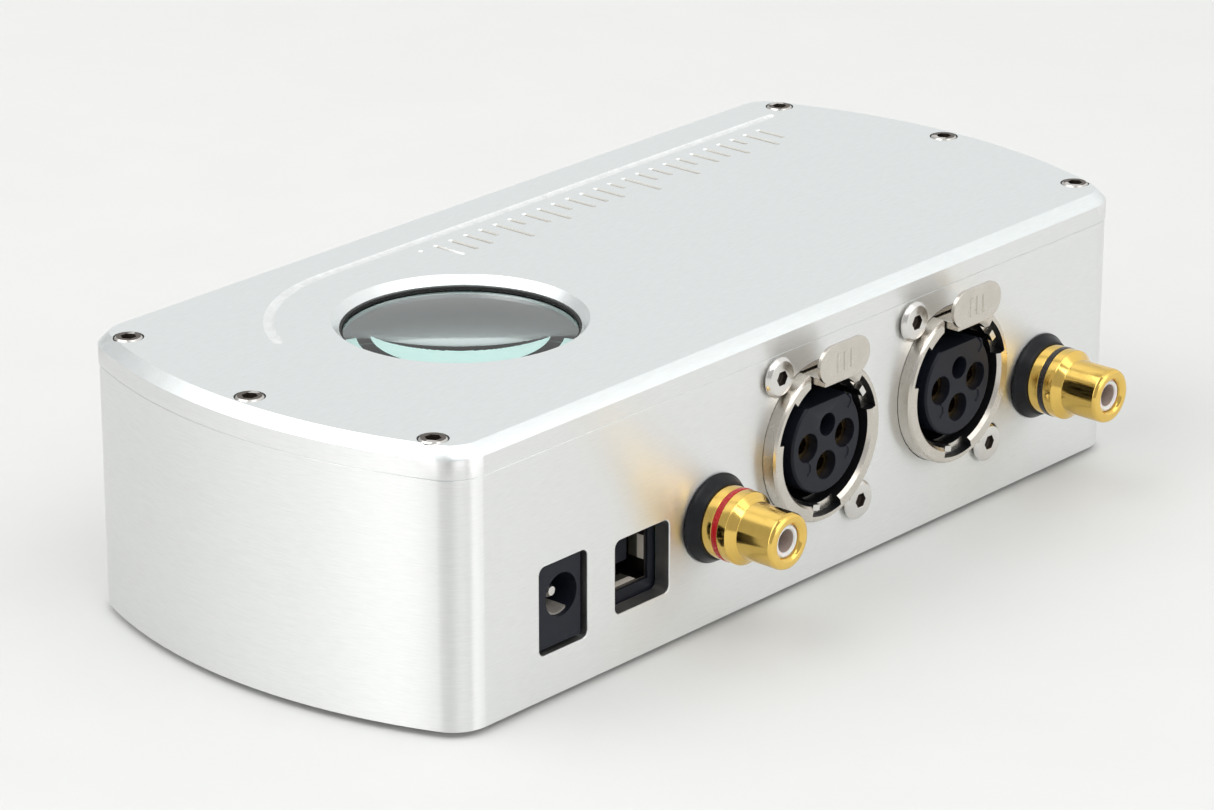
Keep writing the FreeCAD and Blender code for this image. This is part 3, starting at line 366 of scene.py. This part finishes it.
def rounded(node, width, slots=None, paint=None, marks=()):
    """A CAD node's shape with its sharp edges rounded over, and any raised marks added."""
    work = clean_copy(node)
    for middle in marks:
        raised_arc(work, middle, MARK_RADIUS, MARK_HALF_ANGLE, MARK_SIZE)
    if paint:
        for face in work.faces:
            face.material_index = paint(face)
    mesh = bpy.data.meshes.new(node + "_mesh")
    work.to_mesh(mesh)
    work.free()
    piece = add_piece(node + "_finished", mesh, [node], slots)
    smooth(mesh)
    bevel = piece.modifiers.new("rounded_edges", "BEVEL")
    bevel.width = width * MM
    bevel.segments = 3
    bevel.limit_method = "ANGLE"
    bevel.angle_limit = math.radians(38)
    bevel.use_clamp_overlap = True
    bevel.harden_normals = True


def raised_arc(work, middle, radius, half_angle, size):
    """A half-round bead on a face that looks along Y, bowed towards -X, in mm about its middle."""
    steps, sides = 14, 4
    rows = []
    for i in range(steps + 1):
        turn = math.pi + half_angle * (2 * i / steps - 1)
        outward = Vector((math.cos(turn), 0, math.sin(turn)))
        row = []
        for j in range(sides + 1):
            lean = math.pi * j / sides
            bead = outward * (radius + size * math.cos(lean)) + Vector((0, size * math.sin(lean), 0))
            row.append(work.verts.new(middle + bead * MM))
        rows.append(row)
    skin = [work.faces.new((low[j], low[j + 1], high[j + 1], high[j]))
            for low, high in zip(rows, rows[1:]) for j in range(sides)]
    skin += [work.faces.new(rows[0]), work.faces.new(rows[-1])]
    bmesh.ops.recalc_face_normals(work, faces=skin)


def finished(node, work, slots):
    """Show a reworked copy of a CAD node's mesh in that node's place."""
    mesh = bpy.data.meshes.new(node + "_mesh")
    work.to_mesh(mesh)
    work.free()
    add_piece(node + "_finished", mesh, [node], slots)
    smooth(mesh, 28.0)
    for face in mesh.polygons:
        face.use_smooth = max(abs(face.normal.y), abs(face.normal.z)) < SQUARE_ON


def eased(profile, radius):
    """A profile whose inner corners are replaced by small arcs."""
    points = [Vector(p) for p in profile]
    result = [points[0]]
    for before, corner, after in zip(points, points[1:], points[2:]):
        back, ahead = before - corner, after - corner
        reach = min(radius, back.length * 0.45, ahead.length * 0.45)
        start, end = corner + back.normalized() * reach, corner + ahead.normalized() * reach
        for step in range(5):
            t = step / 4
            result.append(start * (1 - t) ** 2 + corner * 2 * t * (1 - t) + end * t ** 2)
    return result + [points[-1]]


def lathe(profile, centre, radius=0.12, steps=160, paint=None):
    """A surface turned about the Y axis through centre from (radius, distance out of the panel), in mm."""
    ring = eased(profile, radius)
    work = bmesh.new()
    rows = []
    for r, out in ring:
        row = []
        for i in range(steps):
            turn = 2 * math.pi * i / steps
            offset = Vector((r * math.cos(turn), out, r * math.sin(turn))) * MM
            row.append(work.verts.new(centre + offset))
        rows.append(row)
    for low, high in zip(rows, rows[1:]):
        for i in range(steps):
            j = (i + 1) % steps
            face = work.faces.new((low[i], low[j], high[j], high[i]))
            face.material_index = paint(face) if paint else 0
    bmesh.ops.recalc_face_normals(work, faces=work.faces)
    mesh = bpy.data.meshes.new("turned_mesh")
    work.to_mesh(mesh)
    work.free()
    smooth(mesh, 60.0)
    return mesh


# ---- pieces ----

SQUARE_ON = 0.9995     # a normal's part along an axis above which a face counts as square to it
UPRIGHT = 0.1          # a normal's part along an axis below which a face counts as along it

# how far sharp edges are rounded over, in mm
SHELL_ROUNDING = 0.18
INSERT_ROUNDING = 0.15
LATCH_ROUNDING = 0.3
SCREW_ROUNDING = 0.08

# drive sockets of the screws, in mm: depth of the floor below the top, reach round it, largest face; these
# faces get painted shade
DRIVE_SHALLOWEST = 0.3
DRIVE_DEEPEST = 1.2
COVER_DRIVE_REACH = 1.25
PANEL_DRIVE_REACH = 1.3
DRIVE_FACE_SIDE = 3.0

# the insulator's bore gets painted shade
SLEEVE_BORE = 1.68     # faces of a phono insulator nearer to its axis than this are its bore, in mm

# plain moulded crescents on a balanced socket's insert: places, radius and bead size in mm
MARK_PLACES = ((-4.3, 4.9), (-3.9, -2.75), (4.6, -3.0))
MARK_RADIUS = 1.15
MARK_HALF_ANGLE = math.radians(66)
MARK_SIZE = 0.18

# reliefs in a balanced socket's lip, in mm from its axis and out of its face; painted shade goes in them and
# on the shell deeper than SHADE_DEPTH
RELIEF_INNER = 9.7
RELIEF_OUTER = 11.3
RELIEF_DEPTH = 3.0
SHADE_DEPTH = 1.5

# cutter marks on the cover, in mm; the milled line and the bars' heads get painted highlights, the rest of
# the bars painted shade
MARK_DEPTH = 0.5       # the deepest mark
MARK_SKIN = 0.01       # shallower than this is the cover's own face
BAR_ROW_START = 28.6   # from the lens's middle along the row
BAR_ROW_END = 25.3     # from the lens's middle towards the front, where the bars' bright heads stop
BAR_HEAD_START = 23.45  # the same, where those heads start
LENS_SURROUND = 20.0   # upright faces nearer than this to the lens belong to its aperture
HEAD_SURROUND = 3.0    # and nearer than this to a cover screw, to its seat

# power and data openings in the casing, in mm; their walls get painted shade
OPENING_LOW, OPENING_HIGH = 7.0, 21.0
OPENING_DEPTH = 2.7
OPENING_MARGIN = 1.0
OPENING_BEVEL = 0.14

# contact fingers of the data socket, in mm: painted highlight on their tips, painted shade further in
FINGER_TIP = 1.2
FINGER_SIDE = 4.2
FINGER_FLAT = 3.9

# lens, in mm
LENS_LIP = 2.55        # how far the flange stands out past the neck
LENS_FLANGE = 1.8      # height of the flange
LENS_RISE = 1.6        # height of the dome
LENS_EASE = 0.15       # small slope between neck and dome
LENS_RINGS = 90        # across the underside
DOME_RINGS = 40
LENS_STEPS = 320

# pale crescent painted on the lens's underside, towards the socket panel's power end, in mm: a painted
# reflection with a painted glow
REFLECTION_SIDE = Vector((0.749, 0.662))
REFLECTION_LEAN = 0.12       # how far round from REFLECTION_SIDE the crescent and outer arc reach, as a cosine
REFLECTION_RADIUS = 12.5
REFLECTION_INNER = 15.4
REFLECTION_OUTER = 14.3
REFLECTION_SHIFT = 7.7

PANEL_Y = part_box("casing")[1].y


def drive_centres(node, axis):
    """Middles of the drive sockets' floors: the faces of the right heading that lie below a screw's top."""
    work = clean_copy(node)
    index = "xyz".index(axis)
    top = max(v.co[index] for v in work.verts)
    found = [face.calc_center_median() for face in work.faces
             if face.normal[index] > 0.99
             and DRIVE_SHALLOWEST * MM < top - face.calc_center_median()[index] < DRIVE_DEEPEST * MM]
    work.free()
    return found


DRIVES = {"z": drive_centres("cover_screws", "z"),
          "y": drive_centres("xlr_right_screws", "y") + drive_centres("xlr_left_screws", "y")}


def panel_centre(node):
    low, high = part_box(node)
    return Vector(((low.x + high.x) / 2, PANEL_Y, (low.z + high.z) / 2))


def make_phono(side):
    """Turned gold body, colour ring, black bush and translucent insulator with painted shade in its bore."""
    centre = panel_centre(f"rca_{side}_body")
    reach = (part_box(f"rca_{side}_body")[1].y - PANEL_Y) / MM
    body = [(4.0, 1.5), (5.3, 2.0), (5.3, 3.76), (4.8, 3.8), (4.8, 4.72), (5.3, 4.76), (5.3, 6.25),
            (5.15, 6.4), (4.15, 7.4), (4.15, reach - 0.65), (3.95, reach - 0.18), (3.5, reach),
            (2.85, reach), (2.45, reach - 0.35), (2.45, 3.0)]
    add_piece(f"rca_{side}_gold", lathe(body, centre, 0.10), [f"rca_{side}_body"])
    band = [(4.85, 3.80), (5.34, 3.80), (5.36, 4.25), (5.34, 4.72), (4.85, 4.72)]
    add_piece(f"rca_{side}_band", lathe(band, centre, 0.12), [f"rca_{side}_colour_ring"])
    bush = [(4.9, 0.02), (6.55, 0.02), (6.55, 0.35), (6.3, 0.65), (5.75, 1.7), (5.55, 2.0), (4.1, 2.05)]
    add_piece(f"rca_{side}_black_bush", lathe(bush, centre, 0.15), [f"rca_{side}_bush"])
    sleeve = [(2.42, 3.0), (2.42, reach - 0.75), (2.15, reach - 0.6), (1.85, reach - 0.62),
              (1.65, reach - 0.9), (1.65, 2.0)]

    # painted shade on the faces of the bore
    def bore_shade_paint(face):
        middle = face.calc_center_median() - centre
        return 1 if math.hypot(middle.x, middle.z) < SLEEVE_BORE * MM else 0

    add_piece(f"rca_{side}_white_sleeve", lathe(sleeve, centre, 0.10, paint=bore_shade_paint),
              [f"rca_{side}_insulator"], ["white_plastic", "bore_painted_shade"])


def make_balanced(side):
    """Nickel shell with painted shade in its reliefs and depths, moulded insert, latch tab and panel screws.
    """
    name = f"xlr_{side}"
    centre = panel_centre(f"{name}_insert")

    def shell_paint(face):
        """Painted shade inside the reliefs, whose floors and ends face inwards above the bore, and on the
        shell's faces deeper than SHADE_DEPTH.
        """
        middle = face.calc_center_median() - centre
        out = Vector((middle.x, 0, middle.z))
        inward = face.normal.dot(out.normalized()) < 0.5 and abs(face.normal.y) < 0.5
        relief = RELIEF_INNER * MM < out.length < RELIEF_OUTER * MM and middle.y > -RELIEF_DEPTH * MM
        deep = middle.y < -SHADE_DEPTH * MM and out.length < RELIEF_OUTER * MM
        return 1 if (inward and relief) or deep else 0

    rounded(f"{name}_shell", SHELL_ROUNDING, slots=["warm_nickel", "relief_painted_shade"], paint=shell_paint)
    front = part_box(f"{name}_insert")[1].y
    marks = [Vector((centre.x + x * MM, front, centre.z + z * MM)) for x, z in MARK_PLACES]
    rounded(f"{name}_insert", INSERT_ROUNDING, marks=marks)
    rounded(f"{name}_latch", LATCH_ROUNDING)
    rounded(f"{name}_screws", SCREW_ROUNDING, slots=["bright_nickel", "drive_painted_shade"],
            paint=drive_paint("y", PANEL_DRIVE_REACH))


def drive_paint(axis, reach):
    """Painted shade for the drive sockets of screws: faces close to a screw's axis and below its face are
    darkened.
    """
    def paint(face):
        return 1 if face.calc_area() < (DRIVE_FACE_SIDE * MM) ** 2 and in_drive(face) else 0

    def in_drive(face):
        middle = face.calc_center_median()
        return any((middle - head).length < reach * MM for head in DRIVES[axis])
    return paint


def make_cover():
    """Cover plate with brushed sides, a milled line painted lighter as a painted highlight, and bars with
    painted shade and painted glints on their heads.
    """
    work = joined_copy("top_cover")
    low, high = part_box("lens")
    lens = Vector(((low.x + high.x) / 2, (low.y + high.y) / 2))
    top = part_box("top_cover")[1].z

    def cutter_mark(face):
        depth = top - min(vert.co.z for vert in face.verts)
        return MARK_SKIN * MM < depth < MARK_DEPTH * MM

    def outer_side(face):
        middle = face.calc_center_median()
        return (abs(face.normal.z) < UPRIGHT and (middle.xy - lens).length > LENS_SURROUND * MM
                and all((middle.xy - head.xy).length > HEAD_SURROUND * MM for head in DRIVES["z"]))

    for face in work.faces:
        if outer_side(face):
            face.material_index = 3
        if not cutter_mark(face):
            continue
        middle = face.calc_center_median().xy
        in_bars = middle.y > lens.y - BAR_ROW_END * MM and (middle - lens).length > BAR_ROW_START * MM
        # painted glints on the bars' heads
        painted_bar_glint = middle.y < lens.y - BAR_HEAD_START * MM
        # index 2 is painted shade on the bars' bodies
        face.material_index = 1 if painted_bar_glint or not in_bars else 2
    finished("top_cover", work,
             ["cover_aluminium", "milled_painted_highlight", "engraved_painted_shade", "casing_aluminium"])


def make_casing():
    """Casing with painted shade on the walls of the power and data openings, and softened rims in those
    openings.
    """
    work = joined_copy("casing")
    openings = [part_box("usb_housing"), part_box("dc_jack_housing")]

    margin = OPENING_MARGIN * MM

    def beside(point):
        return (point.y > PANEL_Y - OPENING_DEPTH * MM
                and any(low.x - margin < point.x < high.x + margin for low, high in openings))

    for face in work.faces:
        middle = face.calc_center_median()
        level = OPENING_LOW * MM < middle.z < OPENING_HIGH * MM
        # painted shade on the opening walls
        if beside(middle) and abs(face.normal.y) < UPRIGHT and level:
            face.material_index = 1

    def on_rim(point):
        level = OPENING_LOW * MM - margin < point.z < OPENING_HIGH * MM + margin
        return abs(point.y - PANEL_Y) < 0.01 * MM and beside(point) and level

    rims = [edge for edge in work.edges
            if edge.calc_face_angle(0) > math.radians(60) and all(on_rim(vert.co) for vert in edge.verts)]
    bmesh.ops.bevel(work, geom=rims, offset=OPENING_BEVEL * MM, segments=2, affect="EDGES", profile=0.5)
    finished("casing", work, ["casing_aluminium", "opening_painted_shade"])


def make_liner():
    """Tunnel of the data socket in painted shade, with painted highlights on the spring fingers' tips at its
    mouth and painted shade on their roots.
    """
    work = clean_copy("usb_liner")
    low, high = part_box("usb_liner")
    middle = (low + high) / 2
    tips = high.y - FINGER_TIP * MM
    bmesh.ops.bisect_plane(work, geom=work.verts[:] + work.edges[:] + work.faces[:], plane_co=(0, tips, 0),
                           plane_no=(0, 1, 0))
    for face in work.faces:
        place = face.calc_center_median() - middle
        on_side = abs(place.x) < FINGER_SIDE * MM and abs(face.normal.x) > 0.9
        on_flat = abs(place.z) < FINGER_FLAT * MM and abs(face.normal.z) > 0.9
        tip = face.calc_center_median().y > tips
        face.material_index = (1 if tip else 2) if on_side or on_flat else 0
    finished("usb_liner", work, ["tunnel_painted_shade", "finger_tip_painted_highlight", "finger_root_painted_shade"])
    frame["nodes"]["dc_jack_leaf"].data.materials[0] = MATERIALS["dull_spring"]


def make_lens():
    """Thick clear lens with a domed face, a ground edge and a pale crescent on its underside as a painted
    reflection; edge and crescent carry a painted glow.
    """
    low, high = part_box("lens")
    flange = (high.x - low.x) / 2 / MM
    neck = flange - LENS_LIP
    top = (high.z - low.z) / MM
    dome_radius = neck - LENS_EASE
    profile = [(flange * i / LENS_RINGS, 0.0) for i in range(LENS_RINGS + 1)]
    profile += [(flange, LENS_FLANGE), (neck, LENS_FLANGE), (neck, top - LENS_RISE - LENS_EASE),
                (dome_radius, top - LENS_RISE)]
    bow = (dome_radius ** 2 + LENS_RISE ** 2) / (2 * LENS_RISE)
    start = math.asin(dome_radius / bow)
    for step in range(1, DOME_RINGS + 1):
        angle = start * (1 - step / DOME_RINGS)
        profile.append((bow * math.sin(angle), top - bow + bow * math.cos(angle)))
    centre = Vector(((low.x + high.x) / 2, (low.y + high.y) / 2, low.z))
    work = bmesh.new()
    verts = [work.verts.new(centre + Vector((r, 0, z)) * MM) for r, z in profile]
    rim = [work.edges.new(pair) for pair in zip(verts, verts[1:])]
    bmesh.ops.spin(work, geom=verts + rim, cent=centre, axis=(0, 0, 1), angle=2 * math.pi,
                   steps=LENS_STEPS, use_merge=True)
    bmesh.ops.remove_doubles(work, verts=work.verts, dist=1e-6)
    bmesh.ops.recalc_face_normals(work, faces=work.faces)
    for face in work.faces:
        place = (face.calc_center_median() - centre) / MM
        across = Vector((place.x, place.y))
        # the seat faces below are a painted reflection: a pale crescent and outer arc on the underside, on
        # one side only
        underside = place.z < 0.01 and across.dot(REFLECTION_SIDE) > REFLECTION_LEAN * across.length
        crescent = across.length < REFLECTION_RADIUS and (across + REFLECTION_SIDE * REFLECTION_SHIFT).length > REFLECTION_INNER
        seat = underside and (crescent or across.length > REFLECTION_OUTER)
        face.material_index = 1 if seat or abs(face.normal.z) < 0.3 else 0
    finished("lens", work, ["lens_glass", "ground_glass_painted_glow"])
    frame["nodes"]["lens_retaining_ring"].data.materials[0] = MATERIALS["lens_seat"]


def main():
    bpy.context.scene.view_settings.view_transform = "Standard"
    make_camera()
    make_world()
    for name, place, size, power in SOFTBOXES:
        area_light(name, place, size, power)
    make_floor()
    for node, piece in frame["nodes"].items():
        piece.data.materials.clear()
        piece.data.materials.append(MATERIALS[SLOT_OF[node]])
    for side in ("right", "left"):
        make_phono(side)
        make_balanced(side)
    make_cover()
    make_casing()
    make_liner()
    rounded("cover_screws", SCREW_ROUNDING, slots=["steel_screws", "drive_painted_shade"],
            paint=drive_paint("z", COVER_DRIVE_REACH))
    make_lens()


main()
